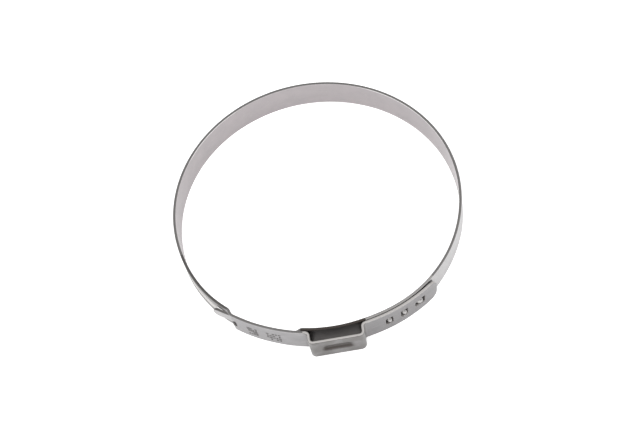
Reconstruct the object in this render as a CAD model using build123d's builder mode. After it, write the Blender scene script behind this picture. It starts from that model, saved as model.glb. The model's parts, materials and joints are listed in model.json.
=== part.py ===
from build123d import *
import os
from math import asin, cos, degrees, radians, sin, sqrt

# Single-ear hose clamp, formed from one stainless strip. Millimetres, +Z up.
# The ring lies flat about the Z axis, its ear points along -Y, and angles are polar angles about +Z.
# The strip starts at the strap's tip on the right, crosses the ear, steps down on the left,
# runs round the back and ends under the ear in a tongue that leaves through the slot.

# Driving dimensions
INNER_DIAMETER = 60.5
STRIP_WIDTH = 7.0
STRIP_THICKNESS = 0.6
LAYER_GAP = 0.1  # running room between the inner and the outer layer
END_GAP = 0.02  # room between two sections that a bend joins

EAR_ANGLE = -90.0
EAR_HALF_WIDTH = 5.5  # ear axis to the middle of a leg
CROWN_RISE = 2.95  # bore radius to the middle of the crown
CROWN_SEAM = 3.9  # ear axis to the seam between the crown and its right end
MITRE_NEAR = 0.15  # how far a section's end stays from a bend's pivot, on the side that opens
MITRE_FAR = 0.8  # and on the side that closes
DIMPLE_LENGTH = 6.0
DIMPLE_HEIGHT = 2.3
DIMPLE_DEPTH = 0.25

# Where the sections of the right arm end
STRAP_TIP = -46.3
STRAP_HINGE = -76.5
HOOK_BAND_END = -78.0
BRIDGE_END = -103.0
NECK_END = -106.0
TONGUE_LIFT = -126.5  # from here the tongue springs straight out
TONGUE_TIP = -141.0
TONGUE_WIDTH = 2.7
TONGUE_CORNER = 1.1
STRAP_CORNER = 2.1

# Where the sections of the left arm end
RAIL_START = -166.0
STEP_START = -134.0
STEP_TOP = -130.8
SLOT_END = -129.6
SHOULDER_START = -126.8
SLOT_HEIGHT = 3.1

# Windows in the strap and the hooks that stand in them: angle, window length, hook length
FIRST_HOOK = ("first_hook", -69.2, 1.7, 1.2)
SECOND_HOOK = ("second_hook", -62.7, 1.7, 1.2)
GUIDE_HOOK = ("guide_hook", -55.2, 2.4, 1.7)
HOOKS = (FIRST_HOOK, SECOND_HOOK, GUIDE_HOOK)
WINDOW_HEIGHT = 2.5
HOOK_WIDTH = 1.9
HOOK_RISE = 1.1
HOOK_ROUNDING = 0.4

# Worked out from the dimensions above
BORE = INNER_DIAMETER / 2
INNER_TOP = BORE + STRIP_THICKNESS
OUTER_BASE = INNER_TOP + LAYER_GAP
OUTER_MIDDLE = OUTER_BASE + STRIP_THICKNESS / 2
OUTER_TOP = OUTER_BASE + STRIP_THICKNESS
INNER_LAYER = (BORE, INNER_TOP)
OUTER_LAYER = (OUTER_BASE, OUTER_TOP)
BOTTOM = -STRIP_WIDTH / 2
RAIL_WIDTH = (STRIP_WIDTH - SLOT_HEIGHT) / 2
FOOT_ANGLE = degrees(asin(EAR_HALF_WIDTH / OUTER_MIDDLE))
FOOT_Y = -sqrt(OUTER_MIDDLE**2 - EAR_HALF_WIDTH**2)
CROWN_Y = -(BORE + CROWN_RISE)
CROWN_OUTER = CROWN_Y - STRIP_THICKNESS / 2
CROWN_INNER = CROWN_Y + STRIP_THICKNESS / 2
LEG_LENGTH = FOOT_Y - CROWN_Y
HINGE_TURN = degrees(END_GAP / 2 / BORE)


def on_circle(radius, angle):
    """Point at a radius and a polar angle."""
    return (radius * cos(radians(angle)), radius * sin(radians(angle)))


def turn(length, radius=OUTER_MIDDLE):
    """Angle that a length takes along a circle."""
    return degrees(length / radius)


def ring_sector(layer, ends, top_ends=None, low=BOTTOM):
    """Face between a layer's two radii. top_ends gives the outer edge its own end angles."""
    first, last = ends
    top_first, top_last = top_ends or ends
    with BuildSketch(Plane.XY.offset(low)) as profile:
        with BuildLine():
            under = CenterArc((0, 0), layer[0], first, last - first)
            over = CenterArc((0, 0), layer[1], top_first, top_last - top_first)
            Line(under @ 0, over @ 0)
            Line(under @ 1, over @ 1)
        make_face()
    return profile.sketch


def plate(points):
    """Face of a straight section, from its corners."""
    with BuildSketch(Plane.XY.offset(BOTTOM)) as profile:
        with BuildLine():
            Polyline(*points, close=True)
        make_face()
    return profile.sketch


def finish(piece, name):
    """Name a finished section and write it out."""
    piece.part.label = name
    export_step(piece.part, f"parts/{name}.step")


os.makedirs("parts", exist_ok=True)

# --- Back half of the band: the fixed body ---------------------------------------------------
with BuildPart() as band_back:
    extrude(ring_sector(INNER_LAYER, (HINGE_TURN, 180 - HINGE_TURN)), amount=STRIP_WIDTH)
finish(band_back, "band_back")

# --- Right arm: band, hook band, hooks, bridge and tongue -------------------------------------
with BuildPart() as band_right:
    extrude(ring_sector(INNER_LAYER, (STRAP_TIP, -HINGE_TURN)), amount=STRIP_WIDTH)
finish(band_right, "band_right")

with BuildPart() as hook_band:
    extrude(ring_sector(INNER_LAYER, (HOOK_BAND_END, STRAP_TIP)), amount=STRIP_WIDTH)
finish(hook_band, "hook_band")

for name, angle, window_length, hook_length in HOOKS:
    hook_layer = (INNER_TOP, INNER_TOP + HOOK_RISE)
    half_turn = turn(hook_length) / 2
    with BuildPart() as hook:
        hook_ends = (angle - half_turn, angle + half_turn)
        extrude(ring_sector(hook_layer, hook_ends, low=-HOOK_WIDTH / 2), amount=HOOK_WIDTH)
        hook_top = hook.faces().sort_by_distance((0, 0, 0))[-1]
        fillet(hook_top.edges(), HOOK_ROUNDING)
    finish(hook, name)

with BuildPart() as bridge_band:
    extrude(ring_sector(INNER_LAYER, (BRIDGE_END, HOOK_BAND_END)), amount=STRIP_WIDTH)
finish(bridge_band, "bridge_band")

with BuildPart() as tongue_neck:
    extrude(ring_sector(INNER_LAYER, (NECK_END, BRIDGE_END)), amount=STRIP_WIDTH)
    neck_corners = tongue_neck.edges().filter_by(lambda edge: edge.length < 1.01 * STRIP_THICKNESS)
    neck_end = Vector(*on_circle(BORE, NECK_END))
    chamfer(neck_corners.sort_by_distance(neck_end)[:2], turn(STRIP_WIDTH) / 10)
finish(tongue_neck, "tongue_neck")

with BuildPart() as tongue:
    with BuildSketch(Plane.XY.offset(-TONGUE_WIDTH / 2)):
        with BuildLine():
            spring_length = BORE * (TONGUE_LIFT - TONGUE_TIP) * radians(1)
            inner_edge = CenterArc((0, 0), BORE, NECK_END, TONGUE_LIFT - NECK_END)
            outer_edge = CenterArc((0, 0), INNER_TOP, NECK_END, TONGUE_LIFT - NECK_END)
            inner_run = Line(inner_edge @ 1, inner_edge @ 1 + spring_length * (inner_edge % 1))
            outer_run = Line(outer_edge @ 1, outer_edge @ 1 + spring_length * (outer_edge % 1))
            Line(inner_run @ 1, outer_run @ 1)
            Line(inner_edge @ 0, outer_edge @ 0)
        make_face()
    extrude(amount=TONGUE_WIDTH)
    tip_point = Vector(*on_circle(OUTER_MIDDLE, TONGUE_TIP))
    tip_edges = tongue.edges().filter_by(lambda edge: edge.length < 1.01 * STRIP_THICKNESS)
    fillet(tip_edges.sort_by_distance(tip_point)[:2], TONGUE_CORNER)
finish(tongue, "tongue")

# --- Strap over the hook band: its root is fixed, and its windowed part peels off the hooks ---
with BuildPart() as strap_root:
    foot = EAR_ANGLE + FOOT_ANGLE
    root_ends = (foot + turn(MITRE_NEAR), STRAP_HINGE - HINGE_TURN)
    root_top_ends = (foot + turn(MITRE_FAR), STRAP_HINGE - HINGE_TURN)
    extrude(ring_sector(OUTER_LAYER, root_ends, root_top_ends), amount=STRIP_WIDTH)
finish(strap_root, "strap_root")

with BuildPart() as window_strap:
    extrude(ring_sector(OUTER_LAYER, (STRAP_HINGE + HINGE_TURN, STRAP_TIP)), amount=STRIP_WIDTH)
    tip_corners = window_strap.edges().filter_by(lambda edge: edge.length < 1.01 * STRIP_THICKNESS)
    strap_end = Vector(*on_circle(OUTER_MIDDLE, STRAP_TIP))
    fillet(tip_corners.sort_by_distance(strap_end)[:2], STRAP_CORNER)
    for name, angle, window_length, hook_length in HOOKS:
        half_turn = turn(window_length) / 2
        window_ends = (angle - half_turn, angle + half_turn)
        cutting_layer = (INNER_TOP, OUTER_TOP + STRIP_THICKNESS)
        window = ring_sector(cutting_layer, window_ends, low=-WINDOW_HEIGHT / 2)
        extrude(window, amount=WINDOW_HEIGHT, mode=Mode.SUBTRACT)
finish(window_strap, "window_strap")

# --- Left arm: band, slot rails, step and shoulder --------------------------------------------
with BuildPart() as band_left:
    extrude(ring_sector(INNER_LAYER, (-180 + HINGE_TURN, RAIL_START)), amount=STRIP_WIDTH)
finish(band_left, "band_left")

for name, rail_bottom in (("lower_rail", BOTTOM), ("upper_rail", SLOT_HEIGHT / 2)):
    with BuildPart() as rail:
        rail_face = ring_sector(INNER_LAYER, (RAIL_START, STEP_START), low=rail_bottom)
        extrude(rail_face, amount=RAIL_WIDTH)
    finish(rail, name)

with BuildPart() as step_bend:
    with BuildSketch(Plane.XY.offset(BOTTOM)):
        with BuildLine():
            step_run = SHOULDER_START - STEP_TOP
            step_base = CenterArc((0, 0), OUTER_BASE, STEP_TOP, step_run)
            step_top = CenterArc((0, 0), OUTER_TOP, STEP_TOP, step_run)
            Line(step_base @ 1, step_top @ 1)
            jog_under = Line(step_base @ 0, on_circle(BORE, STEP_START))
            jog_over = Line(step_top @ 0, on_circle(INNER_TOP, STEP_START))
            Line(jog_under @ 1, jog_over @ 1)
        make_face()
    extrude(amount=STRIP_WIDTH)
    slot_layer = (BORE - STRIP_THICKNESS, OUTER_TOP + STRIP_THICKNESS)
    slot = ring_sector(slot_layer, (STEP_START - 1, SLOT_END), low=-SLOT_HEIGHT / 2)
    extrude(slot, amount=SLOT_HEIGHT, mode=Mode.SUBTRACT)
finish(step_bend, "step_bend")

with BuildPart() as shoulder:
    foot = EAR_ANGLE - FOOT_ANGLE
    shoulder_ends = (SHOULDER_START, foot - turn(MITRE_NEAR))
    shoulder_top_ends = (SHOULDER_START, foot - turn(MITRE_FAR))
    extrude(ring_sector(OUTER_LAYER, shoulder_ends, shoulder_top_ends), amount=STRIP_WIDTH)
finish(shoulder, "shoulder")

# --- Ear: two legs that tilt and a crown that stays square ------------------------------------
for name, leg_x in (("ear_left_leg", -EAR_HALF_WIDTH), ("ear_right_leg", EAR_HALF_WIDTH)):
    with BuildPart() as leg:
        with BuildSketch(Plane.XY.offset(BOTTOM)):
            with Locations((leg_x, (FOOT_Y + CROWN_Y) / 2)):
                SlotCenterToCenter(LEG_LENGTH, STRIP_THICKNESS, rotation=90)
        extrude(amount=STRIP_WIDTH)
    finish(leg, name)

with BuildPart() as ear_crown:
    seam = CROWN_SEAM - END_GAP / 2
    crown_corners = [
        (-EAR_HALF_WIDTH + MITRE_NEAR, CROWN_OUTER),
        (seam, CROWN_OUTER),
        (seam, CROWN_INNER),
        (-EAR_HALF_WIDTH + MITRE_FAR, CROWN_INNER),
    ]
    extrude(plate(crown_corners), amount=STRIP_WIDTH)
    with BuildSketch(Plane.XZ.offset(-CROWN_INNER)):
        SlotOverall(DIMPLE_LENGTH - STRIP_THICKNESS, DIMPLE_HEIGHT - STRIP_THICKNESS)
    extrude(amount=-DIMPLE_DEPTH)
    with BuildSketch(Plane.XZ.offset(-CROWN_OUTER)):
        SlotOverall(DIMPLE_LENGTH, DIMPLE_HEIGHT)
    extrude(amount=-DIMPLE_DEPTH, mode=Mode.SUBTRACT)
finish(ear_crown, "ear_crown")

with BuildPart() as ear_crown_end:
    seam = CROWN_SEAM + END_GAP / 2
    end_corners = [
        (seam, CROWN_OUTER),
        (EAR_HALF_WIDTH - MITRE_NEAR, CROWN_OUTER),
        (EAR_HALF_WIDTH - MITRE_FAR, CROWN_INNER),
        (seam, CROWN_INNER),
    ]
    extrude(plate(end_corners), amount=STRIP_WIDTH)
finish(ear_crown_end, "ear_crown_end")
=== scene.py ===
"""Looks of a single-ear hose clamp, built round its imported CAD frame.

The clamp is one stainless strip. It is made here as a presser makes it: a flat blank is stamped with
rounded edges, its windows and its slot, and is then formed along the clamp's line. Lengths are in
millimetres until a mesh is placed, and the blank's own coordinates are (along, across, proud).
"""

import json
import logging
import math
from dataclasses import dataclass
from enum import Enum, IntEnum
from typing import Callable, Optional, Sequence, Union

import bmesh
import bpy
from mathutils import Matrix, Vector


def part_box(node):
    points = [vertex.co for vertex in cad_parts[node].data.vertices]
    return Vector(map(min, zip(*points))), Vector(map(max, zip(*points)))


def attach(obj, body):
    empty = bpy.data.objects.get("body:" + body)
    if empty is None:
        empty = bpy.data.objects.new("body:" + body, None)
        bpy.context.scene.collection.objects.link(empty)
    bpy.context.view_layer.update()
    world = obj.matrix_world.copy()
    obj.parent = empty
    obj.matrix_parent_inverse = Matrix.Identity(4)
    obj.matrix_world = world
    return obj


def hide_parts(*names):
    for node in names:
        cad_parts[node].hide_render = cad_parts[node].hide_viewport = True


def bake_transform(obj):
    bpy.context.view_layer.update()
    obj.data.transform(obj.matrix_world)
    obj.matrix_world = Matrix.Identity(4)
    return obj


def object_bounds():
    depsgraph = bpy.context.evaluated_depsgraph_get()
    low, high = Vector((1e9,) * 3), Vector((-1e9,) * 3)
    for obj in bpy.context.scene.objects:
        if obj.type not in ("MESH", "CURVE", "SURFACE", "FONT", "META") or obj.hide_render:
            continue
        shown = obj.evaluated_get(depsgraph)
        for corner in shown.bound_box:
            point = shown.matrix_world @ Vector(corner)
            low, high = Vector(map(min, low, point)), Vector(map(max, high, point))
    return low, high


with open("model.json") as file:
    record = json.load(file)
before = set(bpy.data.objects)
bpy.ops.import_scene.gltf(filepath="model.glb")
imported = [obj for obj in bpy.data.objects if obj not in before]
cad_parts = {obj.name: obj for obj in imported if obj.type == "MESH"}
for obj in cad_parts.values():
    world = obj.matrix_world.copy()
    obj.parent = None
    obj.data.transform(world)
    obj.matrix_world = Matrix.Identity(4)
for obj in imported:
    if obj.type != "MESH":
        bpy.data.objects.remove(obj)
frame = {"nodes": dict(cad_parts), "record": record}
CAD_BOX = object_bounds()
LOG = logging.getLogger("hose_clamp")

MM = 0.001
FORM_ATTRIBUTE = "blank"

# How the formed strip strays from two plain circles. A turn is in degrees.
FLAT_CENTRE = -3.5  # x at which the front is pressed in most
FLAT_REACH = (8.0, 25.0)  # distance from there over which that fades
FLAT_FRONT = (4.0, 20.0)  # distance towards the front over which it sets in
FLAT_DEPTH = 0.68  # how far the front is pressed in
FLAT_LEAN = 0.055  # how far it leans out, for each millimetre of height
STRAP_SPRING = 0.22  # how far the strap's tip springs off
STRAP_SPRING_TURN = 14.0  # turn over which it does
TONGUE_TURN = 14.2  # turn over which the tongue runs straight
STEP_TURN = 3.2  # turn over which the step climbs
SLOT_TURN = 2.8  # turn from the slot's end to the end of the step

# Where the blank is cut and scored.
FOOT_TURN = 0.8  # turn of the shoulder that goes with the left foot
ROOT_TURN = 2.0  # turn of the strap that bends as it peels, on the ear's side of its hinge
OVERRUN = 0.5  # how far a cut runs past the blank's end
END_SCORE = 0.08  # distance from a section's end to its first score


def mm_box(node: str) -> tuple[Vector, Vector]:
    """Return the lowest and highest corner of a CAD node, in millimetres."""
    low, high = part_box(node)
    return low / MM, high / MM


def inner_radius(node: str) -> float:
    """Return how near to the clamp's axis a CAD node reaches, in millimetres."""
    return min(vertex.co.xy.length for vertex in frame["nodes"][node].data.vertices) / MM


def turns_of(node: str) -> tuple[float, float]:
    """Return the lowest and highest polar angle of a CAD node, in degrees, from -180 to 180."""
    vertices = frame["nodes"][node].data.vertices
    angles = [math.degrees(math.atan2(vertex.co.y, vertex.co.x)) for vertex in vertices]
    return min(angles), max(angles)


def ease(value: float, low: float, high: float) -> float:
    """Return a smooth step of value from 0 at low to 1 at high."""
    share = min(max((value - low) / (high - low), 0.0), 1.0)
    return share * share * (3 - 2 * share)


# --- The clamp's sizes, read from the frame ----------------------------------------------------


@dataclass(frozen=True)
class ClampSizes:
    """Sizes and angles that every part of the strip shares, in millimetres and degrees."""

    width: float
    thickness: float
    bore: float
    outer_base: float
    ear_half: float
    crown_y: float
    strap_tip: float
    strap_hinge: float
    bridge_end: float
    neck_end: float
    tongue_tip: float
    tongue_width: float
    step_start: float
    step_end: float
    rail_start: float
    hooks: tuple[tuple[str, float, float], ...]
    bend_radius: float = 0.8

    @property
    def inner_line(self) -> float:
        """Radius of the middle of the inner layer."""
        return self.bore + self.thickness / 2

    @property
    def outer_line(self) -> float:
        """Radius of the middle of the outer layer."""
        return self.outer_base + self.thickness / 2

    @property
    def step_top(self) -> float:
        """Angle at which the step has climbed to the outer layer."""
        return self.step_start + STEP_TURN

    @property
    def slot_end(self) -> float:
        """Angle of the slot's end, in the step."""
        return self.step_end - SLOT_TURN

    @classmethod
    def from_frame(cls) -> "ClampSizes":
        """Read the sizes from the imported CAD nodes."""
        band_low, band_high = mm_box("band_back")
        leg_low, leg_high = mm_box("ear_right_leg")
        rail_low, _ = mm_box("upper_rail")
        _, tongue_high = mm_box("tongue")
        crown_low, _ = mm_box("ear_crown_end")
        thickness = leg_high.x - leg_low.x
        shoulder = inner_radius("shoulder")
        hooks = []
        for name in ("first_hook", "second_hook", "guide_hook"):
            heel, toe = turns_of(name)
            hooks.append((name, (heel + toe) / 2, math.radians(toe - heel) * shoulder))
        return cls(
            width=band_high.z - band_low.z,
            thickness=thickness,
            bore=frame["record"]["mounts"][0]["dims"]["r_mm"],
            outer_base=shoulder,
            ear_half=(leg_low.x + leg_high.x) / 2,
            crown_y=crown_low.y + thickness / 2,
            strap_tip=turns_of("window_strap")[1],
            strap_hinge=turns_of("window_strap")[0],
            bridge_end=turns_of("bridge_band")[0],
            neck_end=turns_of("tongue_neck")[0],
            tongue_tip=turns_of("tongue")[0],
            tongue_width=2 * tongue_high.z,
            step_start=turns_of("step_bend")[0],
            step_end=turns_of("step_bend")[1],
            rail_start=turns_of("upper_rail")[0],
            hooks=tuple(hooks),
        )


# --- The line that the strip is formed along ---------------------------------------------------


@dataclass(frozen=True)
class Arc:
    """Round bend about a centre, in millimetres and degrees."""

    centre: Vector
    radius: float
    first: float
    last: float

    @property
    def length(self) -> float:
        """Length of the bend along its middle line."""
        return abs(math.radians(self.last - self.first)) * self.radius

    def at(self, run: float) -> tuple[Vector, Vector]:
        """Return the point and the outward direction at a run along the bend."""
        angle = math.radians(self.first + (self.last - self.first) * run / self.length)
        radial = Vector((math.cos(angle), math.sin(angle)))
        outward = radial if self.last < self.first else -radial
        return self.centre + radial * self.radius, outward


@dataclass(frozen=True)
class Run:
    """Straight stretch between two points."""

    first: Vector
    last: Vector

    @property
    def length(self) -> float:
        """Length of the stretch."""
        return (self.last - self.first).length

    def at(self, run: float) -> tuple[Vector, Vector]:
        """Return the point and the outward direction at a run along the stretch."""
        heading = (self.last - self.first).normalized()
        return self.first + heading * run, Vector((-heading.y, heading.x))


@dataclass(frozen=True)
class RingLine:
    """Stretch round the clamp's axis, with its radius given for each polar angle."""

    first: float
    last: float
    nominal: float
    radius_at: Callable[[float], float]

    @property
    def length(self) -> float:
        """Length of the stretch at its nominal radius."""
        return math.radians(self.first - self.last) * self.nominal

    def point(self, angle: float) -> Vector:
        """Return the middle line's point at a polar angle."""
        turn = math.radians(angle)
        return Vector((math.cos(turn), math.sin(turn))) * self.radius_at(angle)

    def at(self, run: float) -> tuple[Vector, Vector]:
        """Return the point and the outward direction at a run along the stretch."""
        angle = self.first - math.degrees(run / self.nominal)
        step = 0.02
        heading = (self.point(angle - step) - self.point(angle + step)).normalized()
        return self.point(angle), Vector((-heading.y, heading.x))


class Stretch(IntEnum):
    """The line's stretches, in order from the strap's tip."""

    STRAP = 0
    RIGHT_FOOT = 1
    RIGHT_LEG = 2
    RIGHT_CORNER = 3
    CROWN = 4
    LEFT_CORNER = 5
    LEFT_LEG = 6
    LEFT_FOOT = 7
    RING = 8


class Line:
    """The whole strip's middle line, from the strap's tip to the tongue's tip."""

    def __init__(self, sizes: ClampSizes) -> None:
        """Lay out the line's stretches.

        Args:
            sizes: The clamp's shared sizes.
        """
        self.sizes = sizes
        bend = sizes.bend_radius
        foot_x = sizes.ear_half + bend
        foot_y = -math.sqrt((sizes.outer_line + bend) ** 2 - foot_x**2)
        foot_turn = math.degrees(math.atan2(-foot_y, foot_x))
        top_y = sizes.crown_y + bend
        half = sizes.ear_half
        self.strap = RingLine(sizes.strap_tip, -foot_turn, sizes.outer_line, self.strap_radius)
        self.ring = RingLine(-180 + foot_turn, sizes.tongue_tip - 360, sizes.inner_line, self.ring_radius)
        self.stretches = [
            self.strap,
            Arc(Vector((foot_x, foot_y)), bend, 180 - foot_turn, 180),
            Run(Vector((half, foot_y)), Vector((half, top_y))),
            Arc(Vector((half - bend, top_y)), bend, 0, -90),
            Run(Vector((half - bend, sizes.crown_y)), Vector((-half + bend, sizes.crown_y))),
            Arc(Vector((-half + bend, top_y)), bend, -90, -180),
            Run(Vector((-half, top_y)), Vector((-half, foot_y))),
            Arc(Vector((-foot_x, foot_y)), bend, 0, foot_turn),
            self.ring,
        ]
        self.starts = [0.0]
        for stretch in self.stretches:
            self.starts.append(self.starts[-1] + stretch.length)

    def strap_radius(self, angle: float) -> float:
        """Return the middle line's radius along the strap, whose tip springs off a little."""
        tip = self.sizes.strap_tip
        return self.sizes.outer_line + STRAP_SPRING * ease(angle, tip - STRAP_SPRING_TURN, tip)

    def ring_radius(self, angle: float) -> float:
        """Return the middle line's radius at an angle that falls from the shoulder round to the tongue.

        The step is on the near side of -180 degrees and the tongue on the far side.

        Args:
            angle: The falling polar angle.

        Returns:
            The radius in millimetres.
        """
        sizes = self.sizes
        if angle > -180:
            rise = ease(angle, sizes.step_start, sizes.step_top)
            return sizes.inner_line + rise * (sizes.outer_line - sizes.inner_line)
        beyond = self.tongue_lift - (angle + 360)
        return sizes.inner_line / math.cos(math.radians(max(beyond, 0.0)))

    @property
    def tongue_lift(self) -> float:
        """Angle from which the tongue springs straight out of the ring."""
        return self.sizes.tongue_tip + TONGUE_TURN

    @property
    def root_end(self) -> float:
        """Where along the blank the strap's peel meets the right foot."""
        return self.on_strap(self.sizes.strap_hinge - ROOT_TURN)

    @property
    def shoulder_start(self) -> float:
        """Where along the blank the left foot meets the shoulder."""
        return self.on_ring(self.ring.first - FOOT_TURN)

    @property
    def ear_length(self) -> float:
        """Length of strip in the ear, from foot to foot."""
        return self.starts[Stretch.RING] - self.starts[Stretch.RIGHT_FOOT]

    def on_strap(self, angle: float) -> float:
        """Return how far along the blank a polar angle of the strap lies."""
        return math.radians(self.strap.first - angle) * self.strap.nominal

    def on_ring(self, angle: float) -> float:
        """Return how far along the blank a falling polar angle of the ring lies."""
        return self.starts[Stretch.RING] + math.radians(self.ring.first - angle) * self.ring.nominal

    def on_bend(self, stretch: Stretch, share: float) -> float:
        """Return how far along the blank a share of a stretch lies."""
        return self.starts[stretch] + share * self.stretches[stretch].length

    def settle(self, point: Vector, across: float) -> Vector:
        """Return how far a place on the strip sits from the round ring.

        The ring isn't quite round: its front is flatter, and leans out a little at its top.

        Args:
            point: The middle line's point.
            across: Height across the strip.

        Returns:
            The shift, in millimetres.
        """
        front = ease(-point.y, *FLAT_FRONT)
        flat = FLAT_DEPTH * front * (1 - ease(abs(point.x - FLAT_CENTRE), *FLAT_REACH))
        return Vector((0.0, flat)) + point.normalized() * (FLAT_LEAN * front * across)

    def form(self, along: float, across: float, proud: float) -> Vector:
        """Return where a point of the flat blank ends up, in metres.

        Args:
            along: Distance from the strap's tip.
            across: Height across the strip.
            proud: Height above the strip's middle, positive outside.
        """
        place = len(self.stretches) - 1
        while place and along < self.starts[place]:
            place -= 1
        point, outward = self.stretches[place].at(along - self.starts[place])
        spot = point + outward * proud + self.settle(point, across)
        return Vector((spot.x * MM, spot.y * MM, across * MM))

    def middle(self, along: float) -> Vector:
        """Return the formed middle line's point, in metres."""
        return self.form(along, 0.0, 0.0)


# --- The flat blank ----------------------------------------------------------------------------


def rounded(corners: Sequence[tuple[float, float, float]], steps: int = 6) -> list[tuple[float, float]]:
    """Round the corners of an outline.

    Args:
        corners: Each corner's place along and across, and its radius.
        steps: Points on each rounded corner, less one.

    Returns:
        The outline's points.
    """
    outline = []
    count = len(corners)
    for place, (along, across, radius) in enumerate(corners):
        here = Vector((along, across))
        before = (Vector(corners[place - 1][:2]) - here).normalized()
        after = (Vector(corners[(place + 1) % count][:2]) - here).normalized()
        half = before.angle(after) / 2
        reach = radius / math.tan(half)
        centre = here + (before + after).normalized() * (radius / math.sin(half))
        first, last = here + before * reach - centre, here + after * reach - centre
        for step in range(steps + 1):
            spoke = first.slerp(last, step / steps) * radius
            outline.append(tuple(centre + spoke))
    return outline


def stadium(first: float, last: float, height: float, radius: float) -> list[tuple[float, float, float]]:
    """Return the corners of an upright rectangle about the blank's middle."""
    half = height / 2
    return [(first, -half, radius), (last, -half, radius), (last, half, radius), (first, half, radius)]


@dataclass
class Blank:
    """The stamped strip before it is formed."""

    sizes: ClampSizes
    line: Line
    edge_round: float = 0.09
    tip_corners: tuple[float, float] = (2.6, 1.6)
    tongue_corners: tuple[float, float, float] = (1.0, 0.9, 1.1)
    window_height: float = 2.7
    window_room: float = 0.5
    window_corner: float = 0.3
    guide_room: float = 0.95
    guide_waist: float = 0.35
    guide_height: float = 1.9
    slot_height: float = 3.1
    slot_corner: float = 0.9
    solid: Optional[bpy.types.Mesh] = None

    def outline(self) -> list[tuple[float, float]]:
        """Return the strip's outer outline."""
        half, narrow = self.sizes.width / 2, self.sizes.tongue_width / 2
        neck = self.line.on_ring(self.sizes.bridge_end - 360)
        tongue = self.line.on_ring(self.sizes.neck_end - 360)
        tip = self.line.on_ring(self.sizes.tongue_tip - 360)
        neck_corner, tongue_corner, end_corner = self.tongue_corners
        upper = [(neck, half, neck_corner), (tongue, narrow, tongue_corner), (tip, narrow, end_corner)]
        lower = [(along, -across, radius) for along, across, radius in reversed(upper)]
        upper_tip, lower_tip = self.tip_corners
        return rounded([(0.0, half, upper_tip), *upper, *lower, (0.0, -half, lower_tip)])

    def holes(self) -> list[list[tuple[float, float]]]:
        """Return the outlines of the windows and the slot."""
        made = []
        for _, angle, length in self.sizes.hooks[:-1]:
            centre, half = self.line.on_strap(angle), (length + self.window_room) / 2
            window = stadium(centre - half, centre + half, self.window_height, self.window_corner)
            made.append(rounded(window, 3))
        made.append(rounded(self.key_hole(), 3))
        slot = (self.line.on_ring(self.sizes.slot_end), self.line.on_ring(self.sizes.rail_start))
        made.append(rounded(stadium(*slot, self.slot_height, self.slot_corner)))
        return made

    def key_hole(self) -> list[tuple[float, float, float]]:
        """Return the corners of the guide window: a tall bar towards the tip and a lower hole behind it."""
        _, angle, length = self.sizes.hooks[-1]
        centre, reach = self.line.on_strap(angle), (length + self.guide_room) / 2
        tip, waist, heel = centre - reach, centre - self.guide_waist, centre + reach
        bar, hole = self.window_height / 2, self.guide_height / 2
        lower = [(tip, -bar, 0.2), (waist, -bar, 0.2), (waist, -hole, 0.15), (heel, -hole, 0.3)]
        return lower + [(along, -across, radius) for along, across, radius in reversed(lower)]

    def stamp(self) -> None:
        """Make the flat solid with its rounded edges."""
        curve = bpy.data.curves.new("blank_outline", "CURVE")
        curve.dimensions = "2D"
        curve.fill_mode = "BOTH"
        curve.extrude = self.sizes.thickness / 2 - self.edge_round
        curve.bevel_depth = self.edge_round
        curve.bevel_resolution = 2
        curve.offset = -self.edge_round
        for points, clockwise in [(self.outline(), True), *((hole, False) for hole in self.holes())]:
            area = sum(a[0] * b[1] - b[0] * a[1] for a, b in zip(points, points[1:] + points[:1]))
            ordered = points if (area < 0) == clockwise else points[::-1]
            spline = curve.splines.new("POLY")
            spline.points.add(len(ordered) - 1)
            for point, (along, across) in zip(spline.points, ordered):
                point.co = (along, across, 0.0, 1.0)
            spline.use_cyclic_u = True
        holder = bpy.data.objects.new("blank_outline", curve)
        bpy.context.scene.collection.objects.link(holder)
        bpy.context.view_layer.update()
        evaluated = holder.evaluated_get(bpy.context.evaluated_depsgraph_get())
        self.solid = bpy.data.meshes.new_from_object(evaluated)
        bpy.data.objects.remove(holder)
        bpy.data.curves.remove(curve)

    def cut(self, first: float, last: float) -> bmesh.types.BMesh:
        """Cut one section out of the blank and close its ends.

        Args:
            first: Where the section starts along the blank.
            last: Where it ends.

        Returns:
            The flat section.
        """
        section = bmesh.new()
        section.from_mesh(self.solid)
        bmesh.ops.remove_doubles(section, verts=section.verts, dist=1e-4)
        for place, side in ((first, -1.0), (last, 1.0)):
            geometry = section.verts[:] + section.edges[:] + section.faces[:]
            plane = {"plane_co": (place, 0, 0), "plane_no": (side, 0, 0)}
            bmesh.ops.bisect_plane(section, geom=geometry, dist=1e-5, clear_outer=True, **plane)
            rim = [edge for edge in section.edges if edge.is_boundary]
            if rim:
                bmesh.ops.edgeloop_fill(section, edges=rim)
        return section


def score(section: bmesh.types.BMesh, places: Sequence[float], axis: int) -> None:
    """Cut a flat section across at each place, so that it can bend there.

    Args:
        section: The flat section.
        places: Positions of the cuts.
        axis: 0 to cut across the strip, 1 to cut along it.
    """
    normal = Vector((0, 0, 0))
    normal[axis] = 1.0
    for place in places:
        geometry = section.verts[:] + section.edges[:] + section.faces[:]
        bmesh.ops.bisect_plane(section, geom=geometry, dist=1e-5, plane_co=normal * place, plane_no=normal)


def spread(first: float, last: float, pitch: float) -> list[float]:
    """Return evenly spaced places between two ends, with one close beside each end."""
    count = max(1, round((last - first) / pitch))
    between = [first + (last - first) * step / count for step in range(1, count)]
    return [first + END_SCORE, *between, last - END_SCORE]


# --- Shader nodes ------------------------------------------------------------------------------

Triple = tuple[float, float, float]
Colour = Union[Triple, bpy.types.NodeSocket]
RIM = (3.28, 3.46)  # height across the strip over which its rim mask sets in, for painted highlights and painted shade along the rims
EDGE = (2.9, 3.1)  # height that parts the slot's sheared edge from the strip's own


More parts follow.
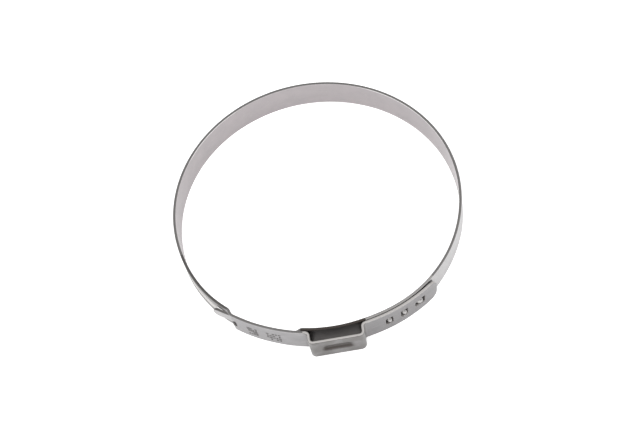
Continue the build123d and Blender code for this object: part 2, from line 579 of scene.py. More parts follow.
class Value:
    """A number that varies over the surface: arithmetic on it adds Math nodes."""

    def __init__(self, sheet: "NodeSheet", socket: bpy.types.NodeSocket) -> None:
        """Wrap an output socket of a node sheet."""
        self.sheet = sheet
        self.socket = socket

    def _math(self, operation: str, first: "Value | float", second: "Value | float") -> "Value":
        """Return the result of one Math node on two values."""
        node = self.sheet.add("ShaderNodeMath", {"operation": operation}, {0: first, 1: second})
        return Value(self.sheet, node.outputs[0])

    def __add__(self, other: "Value | float") -> "Value":
        """Return the sum."""
        return self._math("ADD", self, other)

    __radd__ = __add__

    def __sub__(self, other: "Value | float") -> "Value":
        """Return the difference."""
        return self._math("SUBTRACT", self, other)

    def __rsub__(self, other: "Value | float") -> "Value":
        """Return the difference with this value taken away."""
        return self._math("SUBTRACT", other, self)

    def __mul__(self, other: "Value | float") -> "Value":
        """Return the product."""
        return self._math("MULTIPLY", self, other)

    __rmul__ = __mul__

    def __abs__(self) -> "Value":
        """Return the size without its sign."""
        return self._math("ABSOLUTE", self, 0.0)

    def step(self, low: float, high: float) -> "Value":
        """Return a smooth step from 0 at low to 1 at high."""
        settings = {"interpolation_type": "SMOOTHSTEP"}
        inputs = {"Value": self, "From Min": low, "From Max": high}
        node = self.sheet.add("ShaderNodeMapRange", settings, inputs)
        return Value(self.sheet, node.outputs["Result"])


class NodeSheet:
    """Adds nodes to a material and links them."""

    def __init__(self, tree: bpy.types.NodeTree) -> None:
        """Start a sheet on a material's node tree."""
        self.tree = tree

    def add(self, kind: str, settings: Optional[dict] = None, inputs: Optional[dict] = None) -> bpy.types.Node:
        """Add one node.

        Args:
            kind: The node's Blender type.
            settings: Its properties, set before its sockets.
            inputs: Values or links, by socket name or number.

        Returns:
            The new node.
        """
        node = self.tree.nodes.new(kind)
        for name, setting in (settings or {}).items():
            setattr(node, name, setting)
        for name, entry in (inputs or {}).items():
            source = entry.socket if isinstance(entry, Value) else entry
            if isinstance(source, bpy.types.NodeSocket):
                self.tree.links.new(source, node.inputs[name])
            else:
                node.inputs[name].default_value = source
        return node

    def noise(self, vector: bpy.types.NodeSocket, stretch: Triple, detail: float) -> Value:
        """Return noise on a stretched coordinate.

        Args:
            vector: The coordinate.
            stretch: Waves per millimetre along, across and through the strip.
            detail: Octaves of the noise.
        """
        scaled = self.add("ShaderNodeVectorMath", {"operation": "MULTIPLY"}, {0: vector, 1: stretch})
        inputs = {"Vector": scaled.outputs[0], "Scale": 1.0, "Detail": detail, "Roughness": 0.6}
        return Value(self, self.add("ShaderNodeTexNoise", None, inputs).outputs["Fac"])

    def mix(self, low: Colour, high: Colour, factor: Value) -> bpy.types.NodeSocket:
        """Return a colour between two colours."""
        node = self.add("ShaderNodeMix", {"data_type": "RGBA"}, {"Factor": factor})
        for socket, colour in ((node.inputs[6], low), (node.inputs[7], high)):
            if isinstance(colour, bpy.types.NodeSocket):
                self.tree.links.new(colour, socket)
            else:
                socket.default_value = (*colour, 1.0)
        return node.outputs[2]


class Finish(Enum):
    """How a section of the strip is toned, and which highlights and shade are painted on it."""

    PLAIN = "plain"
    STRAP = "strap"
    HOOKS = "hooks"
    HOOK = "hook"
    BRIDGE = "bridge"
    RAILS = "rails"
    EAR = "ear"
    CROWN = "crown"
    MARKS = "marks"


@dataclass(frozen=True)
class Surface:
    """What varies over the strip, read from each place's position on the flat blank."""

    along: Value
    across: Value
    proud: Value
    grain: Value
    fine: Value
    cloud: Value
    scuff: Value
    flat: Value
    rim: Value
    inside: Value

    @classmethod
    def read(cls, sheet: NodeSheet, half_thickness: float) -> "Surface":
        """Read the position on the blank, lay the patterns on it, and tell faces, rims and inside apart.

        Args:
            sheet: The material's node sheet.
            half_thickness: Half of the strip's thickness.

        Returns:
            The surface.
        """
        place = sheet.add("ShaderNodeAttribute", {"attribute_name": FORM_ATTRIBUTE}).outputs["Vector"]
        split = sheet.add("ShaderNodeSeparateXYZ", None, {0: place})
        along, across, proud = (Value(sheet, split.outputs[axis]) for axis in range(3))
        flat = abs(proud).step(0.72 * half_thickness, 0.97 * half_thickness)
        return cls(
            along=along,
            across=across,
            proud=proud,
            grain=sheet.noise(place, (0.22, 9.0, 3.0), 5.0),
            fine=sheet.noise(place, (1.1, 38.0, 12.0), 3.0),
            cloud=sheet.noise(place, (0.3, 0.35, 0.4), 3.0),
            scuff=sheet.noise(place, (1.6, 2.4, 2.0), 6.0).step(0.62, 0.72),
            flat=flat,
            rim=abs(across).step(*RIM) * flat,
            inside=(0.0 - proud).step(0.0, 0.1),
        )

    def near(self, centre: float, whole: float, gone: float) -> Value:
        """Return 1 within a distance along the strip, which fades to 0 at a second one."""
        return 1.0 - abs(self.along - centre).step(whole, gone)


@dataclass(frozen=True)
class ShadePatch:
    """Painted shade on the strip's outer face, over a hollow: round a hook in its window, and in the crown's
    pressed dimple.
    """

    along: float
    half_length: float
    half_height: float
    soft: float = 0.2
    depth: float = 0.8

    def cover(self, surface: Surface) -> Value:
        """Return how much of the patch's painted shade lies at each place."""
        level = 1.0 - abs(surface.across).step(self.half_height - self.soft, self.half_height + self.soft)
        near = surface.near(self.along, self.half_length - self.soft, self.half_length + self.soft)
        return near * level * (surface.proud.step(0.0, 0.2) * self.depth)


@dataclass(frozen=True)
class RolledSteel:
    """Satin stainless strip, with its rolling grain along its length and sheared edges."""

    name: str
    # Which face gets the deep tone, and how much: painted shade on the bridge's outer face and the ear's inner
    # faces, the marks' own tone on theirs.
    shade_and_mark_side: int = 0
    shade_and_mark_depth: float = 1.0
    patches: tuple[ShadePatch, ...] = ()
    # Stretch whose outer faces get darker blotches: painted shade on the ear, a darker tone round the slot on
    # the rails.
    darker_stretch: Optional[tuple[float, float]] = None
    darker_fade: float = 1.5
    darker_depth: float = 0.9
    # Stretch along the blank over which the faces turn lighter, and how much; they stay lighter beyond it.
    lighter_stretch: Optional[tuple[float, float]] = None
    lighter_share: float = 0.2
    # How strong the painted highlight along the strip's rims is.
    rim_highlight_share: float = 0.35
    # How much painted shade lies along the strip's rims.
    rim_shade_share: float = 0.0
    # Stretches along the inner rim with a stronger painted highlight.
    rim_highlight_stretches: tuple[tuple[float, float], ...] = ()
    edge: Optional[Triple] = None
    # Tone of the cut edges; brighter on some finishes as a painted highlight, darker on the bridge as painted
    # shade.
    sheared: Triple = (0.25, 0.242, 0.238)
    dark_grain: Triple = (0.225, 0.219, 0.222)
    light_grain: Triple = (0.34, 0.33, 0.335)
    inner_tint: Triple = (0.365, 0.335, 0.341)
    darker_tone: Triple = (0.13, 0.123, 0.117)
    # Light tone for scuffs, which are real wear, and for the painted highlights.
    rubbed_and_highlight_tone: Triple = (0.86, 0.85, 0.84)
    # Deep tone for the painted shade, and for the stamped marks.
    shade_and_mark_tone: Triple = (0.047, 0.039, 0.035)
    roughness: float = 0.3
    half_thickness: float = 0.3

    def face(self, sheet: NodeSheet, surface: Surface) -> bpy.types.NodeSocket:
        """Colour the strip's faces.

        Args:
            sheet: The material's node sheet.
            surface: What varies over the strip.

        Returns:
            The rolled grain, tinted inside and scuffed, with painted highlights along the rims, lighter over
            one stretch, and darker blotches over another, painted shade on the ear.
        """
        cloud, rim, inside = surface.cloud, surface.rim, surface.inside
        streak = surface.grain * 0.65 + surface.fine * 0.2 + cloud * 0.3
        tone = sheet.mix(self.dark_grain, self.light_grain, streak.step(0.35, 0.82))
        tone = sheet.mix(tone, self.inner_tint, inside * (0.45 + cloud * 0.7))
        # Scuffs are real wear; the rim term is a painted highlight.
        tone = sheet.mix(tone, self.rubbed_and_highlight_tone, surface.scuff * 0.12 + rim * self.rim_highlight_share)
        # Painted highlights along the inner rim over given stretches.
        for centre, reach in self.rim_highlight_stretches:
            tone = sheet.mix(tone, self.rubbed_and_highlight_tone, rim * surface.near(centre, 0.6 * reach, reach) * inside)
        # Lighter from a given place along the blank onwards.
        if self.lighter_stretch:
            tone = sheet.mix(tone, self.rubbed_and_highlight_tone, surface.along.step(*self.lighter_stretch) * self.lighter_share)
        # Darker blotches on the outer faces over a given stretch; on the ear they are painted shade.
        if self.darker_stretch:
            centre, reach = self.darker_stretch
            near = surface.near(centre, reach - self.darker_fade, reach)
            outside = self.darker_depth - inside * self.darker_depth
            tone = sheet.mix(tone, self.darker_tone, cloud.step(0.1, 0.6) * near * outside)
        # Painted shade along the rims.
        if self.rim_shade_share:
            tone = sheet.mix(tone, self.shade_and_mark_tone, rim * self.rim_shade_share)
        return tone

    def colour(self, sheet: NodeSheet, surface: Surface) -> bpy.types.NodeSocket:
        """Colour the faces and the sheared edges, and lay the painted shade and the marks' own tone on them.

        Args:
            sheet: The material's node sheet.
            surface: What varies over the strip.

        Returns:
            The whole colour.
        """
        cut = self.sheared
        # On the rails the slot's edges keep the sheared tone, painted white there as a painted highlight; the
        # outer edges take the darker edge tone.
        if self.edge:
            cut = sheet.mix(self.sheared, self.edge, abs(surface.across).step(*EDGE))
        tone = sheet.mix(cut, self.face(sheet, surface), surface.flat)
        # Painted shade round the hooks in their windows and in the crown's dimple.
        for patch in self.patches:
            tone = sheet.mix(tone, self.shade_and_mark_tone, patch.cover(surface))
        # Deep tone over one face: painted shade on the bridge's outer face under the ear and on the ear's inner
        # faces; on the marks it is their own tone.
        if self.shade_and_mark_side:
            hidden = (surface.proud * float(self.shade_and_mark_side)).step(0.1, 0.28)
            tone = sheet.mix(tone, self.shade_and_mark_tone, hidden * (0.82 + surface.cloud * 0.18) * self.shade_and_mark_depth)
        return tone

    def make(self) -> bpy.types.Material:
        """Build the material."""
        material = bpy.data.materials.new(self.name)
        material.use_nodes = True
        material.node_tree.nodes.clear()
        sheet = NodeSheet(material.node_tree)
        surface = Surface.read(sheet, self.half_thickness)
        rough = self.roughness + surface.grain * 0.14 + surface.scuff * 0.08 + (1.0 - surface.flat) * 0.16
        height = surface.grain * 0.5 + surface.fine * 0.35 + surface.cloud * 0.3
        bump = sheet.add("ShaderNodeBump", None, {"Strength": 0.12, "Distance": 0.00004, "Height": height})
        inputs = {
            "Base Color": self.colour(sheet, surface),
            "Metallic": 1.0,
            "Roughness": rough,
            "Normal": bump.outputs[0],
        }
        shader = sheet.add("ShaderNodeBsdfPrincipled", None, inputs)
        sheet.add("ShaderNodeOutputMaterial", None, {"Surface": shader.outputs[0]})
        return material


@dataclass(frozen=True)
class ShadeAndHighlights:
    """Where highlights and shade are painted on the strip, and its lighter and darker stretches: angles in
    degrees, reaches in millimetres.
    """

    sizes: ClampSizes
    line: Line
    # Sizes of the painted shade round the hooks and in the crown's dimple.
    hollow_margin: float = 0.7
    hollow_half_height: float = 1.7
    dimple_half_length: float = 3.05
    dimple_half_height: float = 1.1
    # Stretches of the ring's inner rim with a painted highlight: an angle and a reach each.
    rim_highlight_stretches: tuple[tuple[float, float], ...] = ((-227.0, 10.5), (-322.0, 16.0))
    # Angles over which the ring turns lighter; it stays lighter beyond them, round to the tongue.
    lighter_stretch: tuple[float, float] = (-338.0, -380.0)
    # How far the ear's painted shade reaches past its feet, and how far the rails are darker each side of the
    # slot.
    ear_margin: float = 0.6
    slot_reach: float = 8.6

    def finishes(self) -> dict[Finish, bpy.types.Material]:
        """Make every finish of the strip.

        Returns:
            The materials, by finish.
        """
        sizes, line = self.sizes, self.line
        # Painted shade round each hook, where the hook band shows through the strap's window.
        hook_window_shade = tuple(
            ShadePatch(line.on_ring(angle - 360), length / 2 + self.hollow_margin, self.hollow_half_height)
            for _, angle, length in sizes.hooks
        )
        crown = line.on_bend(Stretch.CROWN, 0.5)
        # Painted shade in the crown's pressed dimple.
        dimple = ShadePatch(crown, self.dimple_half_length, self.dimple_half_height, soft=0.5, depth=0.9)
        rim_highlight_stretches = tuple((line.on_ring(angle), reach) for angle, reach in self.rim_highlight_stretches)
        lighter_stretch = tuple(line.on_ring(angle) for angle in self.lighter_stretch)
        # Stretch of the ear's outer faces with painted shade.
        ear = (crown, line.ear_length / 2 + self.ear_margin)
        # Stretch of the rails round the slot that is darker.
        slot = ((line.on_ring(sizes.rail_start) + line.on_ring(sizes.step_start)) / 2, self.slot_reach)
        # Cut-edge tones: painted highlights on the strap's, the ear's and the hook band's edges and on the
        # rails' slot edges; painted shade on the bridge's edges under the ear; a darker tone on the rails'
        # outer edges.
        bright, grey, dark = (0.62, 0.6, 0.585), (0.42, 0.41, 0.4), (0.09, 0.078, 0.07)
        white, edge = (0.88, 0.865, 0.85), (0.15, 0.145, 0.14)
        # The ear: painted shade on its inner faces and along its rims, darker blotches of painted shade on its
        # outer faces, painted highlights on its cut edges.
        ear_look = {"shade_and_mark_side": -1, "darker_stretch": ear, "rim_highlight_share": 0.0, "rim_shade_share": 0.5, "sheared": bright}
        rows = {
            # The plain band: painted highlights on stretches of its inner rim, lighter towards the front.
            Finish.PLAIN: {"rim_highlight_stretches": rim_highlight_stretches, "lighter_stretch": lighter_stretch},
            # The strap: a darker copy of the band's grain, as painted shade; painted highlights on its cut
            # edges.
            Finish.STRAP: {
                "dark_grain": (0.18, 0.174, 0.177),
                "light_grain": (0.265, 0.257, 0.26),
                "sheared": bright,
            },
            # The hook band: painted shade round the hooks, a painted highlight on its cut edges, lighter as the
            # ring's front is.
            Finish.HOOKS: {"patches": hook_window_shade, "lighter_stretch": lighter_stretch, "sheared": grey},
            # The hooks: a lighter copy of the band's grain, as a painted highlight on the domes.
            Finish.HOOK: {"dark_grain": (0.3, 0.29, 0.29), "light_grain": (0.5, 0.49, 0.48)},
            # The bridge: painted shade on its outer face and its cut edges, under the ear; lighter as the
            # ring's front is.
            Finish.BRIDGE: {"shade_and_mark_side": 1, "lighter_stretch": lighter_stretch, "sheared": dark},
            # The rails: darker round the slot, their slot edges painted white as a painted highlight, a darker
            # tone on their outer edges.
            Finish.RAILS: {"darker_stretch": slot, "rim_highlight_share": 0.0, "edge": edge, "sheared": white},
            Finish.EAR: ear_look,
            # The crown: as the ear, with painted shade in its dimple.
            Finish.CROWN: {**ear_look, "patches": (dimple,)},
            # The marks: their own deep tone on their outer faces.
            Finish.MARKS: {"shade_and_mark_side": 1, "shade_and_mark_depth": 1.2},
        }
        steels = {finish: RolledSteel(f"rolled_steel_{finish.value}", **row) for finish, row in rows.items()}
        return {finish: steel.make() for finish, steel in steels.items()}


@dataclass(frozen=True)
class Studio:
    """Pale floor, soft lights and the camera."""

    floor_tone: tuple[float, float, float] = (0.97, 0.97, 0.975)
    floor_size: float = 3.0
    floor_glow: float = 0.6
    elevation: float = 58.857
    azimuth: float = 4.0
    roll: float = -13.173
    bores_away: float = 10.5705
    aim_right: float = 0.01467
    aim_up: float = -0.02813
    lens: float = 83.99
    sensor: float = 36.0
    surround: float = 0.42
    lamp_size: float = 1.0
    lamps: tuple[tuple[str, Triple, float], ...] = (
        ("key_light", (-0.35, -0.25, 0.6), 3.6),
        ("fill_light", (0.5, 0.1, 0.5), 2.6),
    )

    def floor(self) -> None:
        """Lay the floor that the clamp rests on: a faintly lit table, so that shadows stay pale."""
        low, _ = CAD_BOX
        half = self.floor_size / 2
        mesh = bpy.data.meshes.new("floor")
        corners = [(-half, -half), (half, -half), (half, half), (-half, half)]
        mesh.from_pydata([(x, y, low.z) for x, y in corners], [], [(0, 1, 2, 3)])
        floor = bpy.data.objects.new("floor", mesh)
        bpy.context.scene.collection.objects.link(floor)
        material = bpy.data.materials.new("pale_floor")
        material.use_nodes = True
        shader = material.node_tree.nodes["Principled BSDF"]
        shader.inputs["Base Color"].default_value = (*self.floor_tone, 1.0)
        shader.inputs["Roughness"].default_value = 0.9
        shader.inputs["Specular IOR Level"].default_value = 0.1
        shader.inputs["Emission Color"].default_value = (1.0, 1.0, 1.0, 1.0)
        shader.inputs["Emission Strength"].default_value = self.floor_glow
        mesh.materials.append(material)

    def lamp(self, name: str, place: Triple, power: float) -> None:
        """Hang one square soft light that faces the clamp.

        Args:
            name: The light's name.
            place: Where it hangs, in metres.
            power: Its power, in watts.
        """
        data = bpy.data.lights.new(name, "AREA")
        data.size = self.lamp_size
        data.energy = power
        light = bpy.data.objects.new(name, data)
        light.location = place
        light.rotation_euler = (-Vector(place)).to_track_quat("-Z", "Y").to_euler()
        bpy.context.scene.collection.objects.link(light)

    def lights(self) -> None:
        """Set the soft surroundings and the lights."""
        world = bpy.data.worlds.new("soft_box")
        world.use_nodes = True
        world.node_tree.nodes["Background"].inputs["Color"].default_value = (1.0, 1.0, 1.0, 1.0)
        world.node_tree.nodes["Background"].inputs["Strength"].default_value = self.surround
        bpy.context.scene.world = world
        for name, place, power in self.lamps:
            self.lamp(name, place, power)

    def camera(self, bore: float) -> None:
        """Place the camera.

        Args:
            bore: The clamp's bore radius, in metres, which its distance is given in.
        """
        turn, rise, roll = (math.radians(x) for x in (self.azimuth, self.elevation, self.roll))
        back = Vector((math.sin(turn) * math.cos(rise), -math.cos(turn) * math.cos(rise), math.sin(rise)))
        level = Vector((math.cos(turn), math.sin(turn), 0.0))
        upright = back.cross(level)
        right = level * math.cos(roll) + upright * math.sin(roll)
        up = back.cross(right)
        offset = right * self.aim_right + up * self.aim_up + back * self.bores_away
        data = bpy.data.cameras.new("camera")
        data.lens = self.lens
        data.sensor_width = self.sensor
        data.clip_start = 0.01
        camera = bpy.data.objects.new("camera", data)
        rotation = Matrix((right, up, back)).transposed().to_4x4()
        camera.matrix_world = Matrix.Translation(offset * bore) @ rotation
        bpy.context.scene.collection.objects.link(camera)
        bpy.context.scene.camera = camera


# --- Pieces ------------------------------------------------------------------------------------


@dataclass
class Workshop:
    """What every sub-assembly needs: the sizes, the line, the blank and the finishes."""

    sizes: ClampSizes
    line: Line
    blank: Blank
    steel: dict[Finish, bpy.types.Material]

    def mesh_piece(
        self,
        name: str,
        section: bmesh.types.BMesh,
        finish: Finish = Finish.PLAIN,
        pressed: Optional[Callable[[Vector], float]] = None,
    ) -> bpy.types.Object:
        """Form a flat section along the clamp's line and give it its finish.

        Args:
            name: The piece's name.
            section: The flat section, which is used up.
            finish: Its finish.
            pressed: How far the strip is pressed inwards at a place on the blank.

        Returns:
            The finished piece.
        """
        flat_place = section.verts.layers.float_vector.new(FORM_ATTRIBUTE)
        for vertex in section.verts:
            vertex[flat_place] = vertex.co
            along, across, proud = vertex.co
            depth = pressed(vertex.co) if pressed else 0.0
            vertex.co = self.line.form(along, across, proud - depth)
        mesh = bpy.data.meshes.new(name)
        section.to_mesh(mesh)
        section.free()
        mesh.shade_smooth()
        mesh.set_sharp_from_angle(angle=math.radians(32))
        mesh.materials.append(self.steel[finish])
        for polygon in mesh.polygons:
            polygon.material_index = 0
        piece = bpy.data.objects.new(name, mesh)
        bpy.context.scene.collection.objects.link(piece)
        LOG.info("%s: %d faces", name, len(mesh.polygons))
        return piece

    def section(
        self, name: str, first: float, last: float, pitch: float = 0.5, finish: Finish = Finish.PLAIN
    ) -> bpy.types.Object:
        """Cut, score and form one section of the strip.

        Args:
            name: The piece's name.
            first: Where it starts along the blank.
            last: Where it ends.
            pitch: Distance between its scores.
            finish: Its finish.

        Returns:
            The finished piece.
        """
        flat = self.blank.cut(first, last)
        score(flat, spread(first, last, pitch), 0)
        return self.mesh_piece(name, flat, finish)

    def across_joint(
        self, piece: bpy.types.Object, bodies: tuple[str, str], first: float, last: float
    ) -> None:
        """Bake a piece's placement into its mesh.

        Args:
            piece: The piece.
            bodies: The bodies, in the order of the two places; not used.
            first: Where along the blank the bend starts.
            last: Where along the blank it ends.
        """
        self.line.middle(first)
        self.line.middle(last)
        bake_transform(piece)


@dataclass
class Band:
    """The ring's back and its two flexing sides."""

    shop: Workshop
    flex: float = 24.0
    stiff: float = 1.0

    def build(self) -> None:
        """Make the back, attached to its body, and the two sides."""
        line, sizes = self.shop.line, self.shop.sizes
        left, right = line.on_ring(-180 - self.flex), line.on_ring(-360 + self.flex)
        back = self.shop.section("band_back_skin", left, right)
        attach(back, "back")
        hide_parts("band_back")
        side = self.shop.section("band_left_skin", line.on_ring(sizes.rail_start), left)
        self.shop.across_joint(side, ("left_arm", "back"), line.on_ring(sizes.rail_start - self.stiff), left)
        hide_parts("band_left")
        hooks = line.on_ring(sizes.strap_tip - 360)
        side = self.shop.section("band_right_skin", right, hooks)
        self.shop.across_joint(side, ("back", "right_arm"), right, line.on_ring(-360 - self.flex))
        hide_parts("band_right")


@dataclass
class SlotStep:
    """The left arm: rails each side of the slot, the step and the shoulder."""

    shop: Workshop

    def build(self) -> None:
        """Make the rails, the step and the shoulder, all rigid with the left arm."""
        line, sizes = self.shop.line, self.shop.sizes
        step, rails = line.on_ring(sizes.step_end), line.on_ring(sizes.step_start)
        shoulder = self.shop.section("shoulder_skin", line.shoulder_start, step)
        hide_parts("shoulder")
        bend = self.shop.section("step_skin", step, rails, pitch=0.18)
        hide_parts("step_bend")
        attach(shoulder, "left_arm")
        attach(bend, "left_arm")
        last = line.on_ring(sizes.rail_start)
        for node, upper in (("upper_rail", True), ("lower_rail", False)):
            flat = self.shop.blank.cut(rails, last)
            score(flat, spread(rails, last, 0.5), 0)
            other = [vertex for vertex in flat.verts if (vertex.co.y > 0) != upper]
            bmesh.ops.delete(flat, geom=other, context="VERTS")
            rail = self.shop.mesh_piece(f"{node}_skin", flat, Finish.RAILS)
            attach(rail, "left_arm")
            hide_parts(node)


@dataclass
class Ear:
    """The raised ear: four bends, two legs and the crown with its pressed dimple."""

    shop: Workshop
    dimple_length: float = 6.2
    dimple_height: float = 2.3
    dimple_depth: float = 0.3
    dimple_wall: float = 0.8
    dimple_raised: float = 0.15
    dimple_band: float = 2.1
    dimple_pitch: float = 0.14
    crown_inset: float = 0.12

    def press(self, place: Vector) -> float:
        """Return how deep the dimple is at a place on the blank, in millimetres."""
        centre = self.shop.line.on_bend(Stretch.CROWN, 0.5)
        reach = (self.dimple_length - self.dimple_height) / 2
        distance = math.hypot(max(abs(place.x - centre) - reach, 0.0), place.y - self.dimple_raised)
        rim = self.dimple_height / 2
        return self.dimple_depth * (1 - ease(distance, rim - self.dimple_wall, rim + self.dimple_wall / 2))

    def crown(self) -> None:
        """Make the crown between its two bends."""
        line = self.shop.line
        first, last = (line.on_bend(Stretch.CROWN, share) for share in (self.crown_inset, 1 - self.crown_inset))
        flat = self.shop.blank.cut(first, last)
        score(flat, spread(first, last, self.dimple_pitch), 0)
        steps = round(2 * self.dimple_band / self.dimple_pitch)
        score(flat, [-self.dimple_band + self.dimple_pitch * step for step in range(steps + 1)], 1)
        piece = self.shop.mesh_piece("ear_crown_skin", flat, Finish.CROWN, self.press)
        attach(piece, "crown")
        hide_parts("ear_crown")

    def bends(self) -> None:
        """Make the four corner bends."""
        line = self.shop.line
        leg_right, leg_left = line.on_bend(Stretch.RIGHT_LEG, 0.5), line.on_bend(Stretch.LEFT_LEG, 0.5)
        crown_right = line.on_bend(Stretch.CROWN, self.crown_inset)
        crown_left = line.on_bend(Stretch.CROWN, 1 - self.crown_inset)
        foot_nodes = ("strap_root", "ear_right_leg")
        rows = (
            ("right_foot_skin", line.root_end, leg_right, ("right_arm", "ear_right"), foot_nodes),
            ("right_corner_skin", leg_right, crown_right, ("ear_right", "crown_end"), ("ear_crown_end",)),
            ("left_corner_skin", crown_left, leg_left, ("crown", "ear_left"), ()),
            ("left_foot_skin", leg_left, line.shoulder_start, ("ear_left", "left_arm"), ("ear_left_leg",)),
        )
        for name, first, last, bodies, nodes in rows:
            piece = self.shop.section(name, first, last, pitch=0.1, finish=Finish.EAR)
            self.shop.across_joint(piece, bodies, first, last)
            if nodes:
                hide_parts(*nodes)

    def build(self) -> None:
        """Make the whole ear."""
        self.crown()
        self.bends()


@dataclass
class Strap:
    """The windowed strap that lies over the hook band."""

    shop: Workshop
    free_from: float = 4.0

    def build(self) -> None:
        """Make the windowed part and the short bend that it peels about."""
        line = self.shop.line
        free, fixed = line.on_strap(self.shop.sizes.strap_hinge + self.free_from), line.root_end
        windows = self.shop.section("window_strap_skin", -OVERRUN, free, finish=Finish.STRAP)
        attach(windows, "strap")
        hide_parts("window_strap")
        peel = self.shop.section("peel_skin", free, fixed, pitch=0.25, finish=Finish.STRAP)
        self.shop.across_joint(peel, ("strap", "right_arm"), free, fixed)


@dataclass
class RightArm:
    """The inner layer: hook band, hooks, bridge under the ear, neck and tongue."""

    shop: Workshop
    hook_width: float = 1.8
    hook_rise: float = 1.05
    hook_raised: float = 0.16
    hook_share: float = 0.92
    hook_sunk: float = 0.05
    hook_cells: int = 18
    bridge_start: float = -78.0

    def dome(self, u: float, v: float) -> tuple[float, float]:
        """Return how far out and how high a place on a hook lies.

        Args:
            u: Share of the half length, from -1 at the strap's tip end to 1.
            v: Share of the half width, from -1 to 1.

        Returns:
            The share of the half length, drawn in at the corners, and the share of the rise.
        """
        spare = max(1 - abs(u) ** 3.2 - abs(v) ** 3.2, 0.0)
        return u * math.sqrt(max(1 - 0.5 * v * v, 0.0)), spare**0.42 * (1 - 0.3 * ease(u, -0.2, 1.0))

    def hook(self, name: str, angle: float, length: float) -> None:
        """Raise one hook from the band, as a pressed dome that stands in its window.

        Args:
            name: The CAD node that it replaces.
            angle: Its polar angle.
            length: Its length along the band.
        """
        centre = self.shop.line.on_ring(angle - 360)
        base = self.shop.sizes.thickness / 2 - self.hook_sunk
        shares = [math.sin(math.pi * (cell / self.hook_cells - 0.5)) for cell in range(self.hook_cells + 1)]
        flat = bmesh.new()
        grid = []
        reach = self.hook_share * length / 2
        for v in shares:
            across = v * self.hook_width / 2 + self.hook_raised
            spots = (self.dome(u, v) for u in shares)
            places = [(centre + out * reach, across, base + self.hook_rise * up) for out, up in spots]
            grid.append([flat.verts.new(place) for place in places])
        for near, far in zip(grid, grid[1:]):
            for cell in range(self.hook_cells):
                flat.faces.new((near[cell], near[cell + 1], far[cell + 1], far[cell]))
        rim = [edge for edge in flat.edges if edge.is_boundary]
        bmesh.ops.edgeloop_fill(flat, edges=rim)
        bmesh.ops.remove_doubles(flat, verts=flat.verts, dist=1e-4)
        bmesh.ops.recalc_face_normals(flat, faces=flat.faces)
        piece = self.shop.mesh_piece(f"{name}_skin", flat, Finish.HOOK)
        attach(piece, "right_arm")
        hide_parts(name)

    def build(self) -> None:
        """Make the inner layer from the hooks to the tongue's tip."""
        line, sizes = self.shop.line, self.shop.sizes
        hooks, bridge = line.on_ring(sizes.strap_tip - 360), line.on_ring(self.bridge_start - 360)
        neck, tongue = line.on_ring(sizes.bridge_end - 360), line.on_ring(sizes.neck_end - 360)
        tip = line.on_ring(sizes.tongue_tip - 360) + OVERRUN
        rows = (
            ("hook_band_skin", "hook_band", hooks, bridge, Finish.HOOKS),
            ("bridge_skin", "bridge_band", bridge, neck, Finish.BRIDGE),
            ("tongue_neck_skin", "tongue_neck", neck, tongue, Finish.PLAIN),
            ("tongue_skin", "tongue", tongue, tip, Finish.PLAIN),
        )
        for name, node, first, last, finish in rows:
            piece = self.shop.section(name, first, last, finish=finish)
            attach(piece, "right_arm")
            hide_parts(node)
        for name, angle, length in sizes.hooks:
            self.hook(name, angle, length)


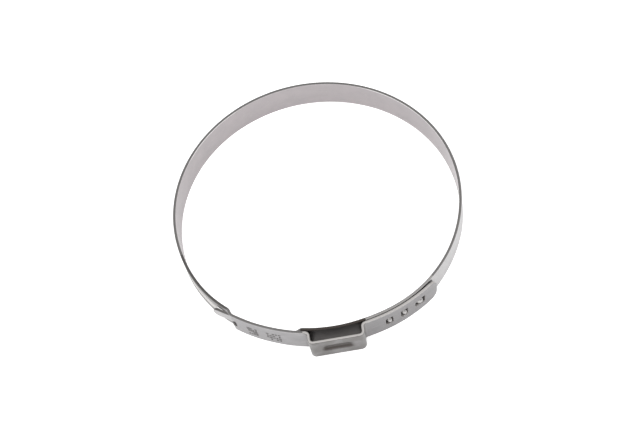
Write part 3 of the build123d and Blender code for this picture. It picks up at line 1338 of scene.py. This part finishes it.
@dataclass
class Marks:
    """Generic stamped marks on the shoulder: short bars at random turns, which spell nothing.

    Each group has its name, its polar angle, its length, and its grid's columns and rows.
    """

    shop: Workshop
    groups: tuple[tuple[str, float, float, int, int], ...] = (
        ("near_marks", -113.9, 2.5, 5, 4),
        ("far_marks", -122.6, 1.7, 4, 5),
    )
    height: float = 2.8
    lowered: float = 0.4
    bar: Triple = (0.55, 0.32, 0.05)
    kept: float = 0.72
    first_seed: int = 12

    def tree(self) -> bpy.types.NodeTree:
        """Build the node tree that scatters the bars of one group.

        Returns:
            The tree, with its named inputs.
        """
        tree = bpy.data.node_groups.new("stamped_marks", "GeometryNodeTree")
        sheet = NodeSheet(tree)
        kinds = {"Length": "Float", "Height": "Float", "Columns": "Int", "Rows": "Int", "Bar": "Vector"}
        kinds.update({"Kept": "Float", "Seed": "Int", "Finish": "Material"})
        for name, kind in kinds.items():
            tree.interface.new_socket(name, in_out="INPUT", socket_type=f"NodeSocket{kind}")
        tree.interface.new_socket("Geometry", in_out="OUTPUT", socket_type="NodeSocketGeometry")
        given = sheet.add("NodeGroupInput").outputs
        size = {"Size X": given["Length"], "Size Y": given["Height"]}
        size.update({"Vertices X": given["Columns"], "Vertices Y": given["Rows"]})
        grid = sheet.add("GeometryNodeMeshGrid", None, size)
        keep = sheet.add("FunctionNodeRandomValue", {"data_type": "BOOLEAN"})
        tree.links.new(given["Kept"], next(entry for entry in keep.inputs if entry.name == "Probability"))
        tree.links.new(given["Seed"], keep.inputs["Seed"])
        upright = sheet.add("FunctionNodeRandomValue", {"data_type": "INT"})
        ends = [entry for entry in upright.inputs if entry.type == "INT"]
        low, high = (entry for entry in ends if entry.name in ("Min", "Max"))
        low.default_value, high.default_value = 0, 1
        tree.links.new(given["Seed"], upright.inputs["Seed"])
        chosen = next(entry for entry in upright.outputs if entry.type == "INT")
        turn = sheet.add("ShaderNodeMath", {"operation": "MULTIPLY"}, {0: chosen, 1: math.pi / 2})
        rotation = sheet.add("ShaderNodeCombineXYZ", None, {"Z": turn.outputs[0]})
        bar = sheet.add("GeometryNodeMeshCube", None, {"Size": given["Bar"]})
        picked = next(entry for entry in keep.outputs if entry.type == "BOOLEAN")
        inputs = {"Points": grid.outputs["Mesh"], "Selection": picked, "Instance": bar.outputs["Mesh"]}
        placed = sheet.add("GeometryNodeInstanceOnPoints", None, {**inputs, "Rotation": rotation.outputs[0]})
        real = sheet.add("GeometryNodeRealizeInstances", None, {0: placed.outputs[0]})
        finish = {"Geometry": real.outputs[0], "Material": given["Finish"]}
        dressed = sheet.add("GeometryNodeSetMaterial", None, finish)
        result = sheet.add("NodeGroupOutput")
        tree.links.new(dressed.outputs[0], result.inputs["Geometry"])
        return tree

    def group(self, tree: bpy.types.NodeTree, settings: dict[str, object]) -> bmesh.types.BMesh:
        """Run the node tree once.

        Args:
            tree: The node tree.
            settings: A value for each of its named inputs.

        Returns:
            The bars of one group, flat, about the group's middle.
        """
        holder = bpy.data.objects.new("marks_holder", bpy.data.meshes.new("marks_holder"))
        bpy.context.scene.collection.objects.link(holder)
        modifier = holder.modifiers.new("marks", "NODES")
        modifier.node_group = tree
        for item in tree.interface.items_tree:
            if item.in_out == "INPUT":
                modifier[item.identifier] = settings[item.name]
        bpy.context.view_layer.update()
        evaluated = holder.evaluated_get(bpy.context.evaluated_depsgraph_get())
        mesh = bpy.data.meshes.new_from_object(evaluated)
        holder.modifiers.remove(modifier)
        bpy.data.objects.remove(holder)
        flat = bmesh.new()
        flat.from_mesh(mesh)
        bpy.data.meshes.remove(mesh)
        return flat

    def build(self) -> None:
        """Stamp both groups on the shoulder."""
        tree = self.tree()
        surface = self.shop.sizes.thickness / 2
        for seed, (name, angle, length, columns, rows) in enumerate(self.groups, self.first_seed):
            settings = {"Length": length, "Height": self.height, "Columns": columns, "Rows": rows}
            settings.update({"Bar": self.bar, "Kept": self.kept, "Seed": seed})
            flat = self.group(tree, {**settings, "Finish": self.shop.steel[Finish.MARKS]})
            place = Vector((self.shop.line.on_ring(angle), -self.lowered, surface))
            bmesh.ops.translate(flat, verts=flat.verts, vec=place)
            piece = self.shop.mesh_piece(name, flat, Finish.MARKS)
            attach(piece, "left_arm")


def main() -> None:
    """Build the clamp, its pieces in order, and the studio round it."""
    logging.basicConfig(level=logging.INFO, format="%(name)s: %(message)s")
    sizes = ClampSizes.from_frame()
    LOG.info("sizes: %s", sizes)
    studio = Studio()
    studio.camera(sizes.bore * MM)
    studio.floor()
    studio.lights()
    bpy.context.scene.view_settings.view_transform = "Standard"
    line = Line(sizes)
    blank = Blank(sizes, line)
    blank.stamp()
    shop = Workshop(sizes, line, blank, ShadeAndHighlights(sizes, line).finishes())
    Band(shop).build()
    SlotStep(shop).build()
    Ear(shop).build()
    Strap(shop).build()
    RightArm(shop).build()
    Marks(shop).build()


if __name__ == "__main__":
    main()
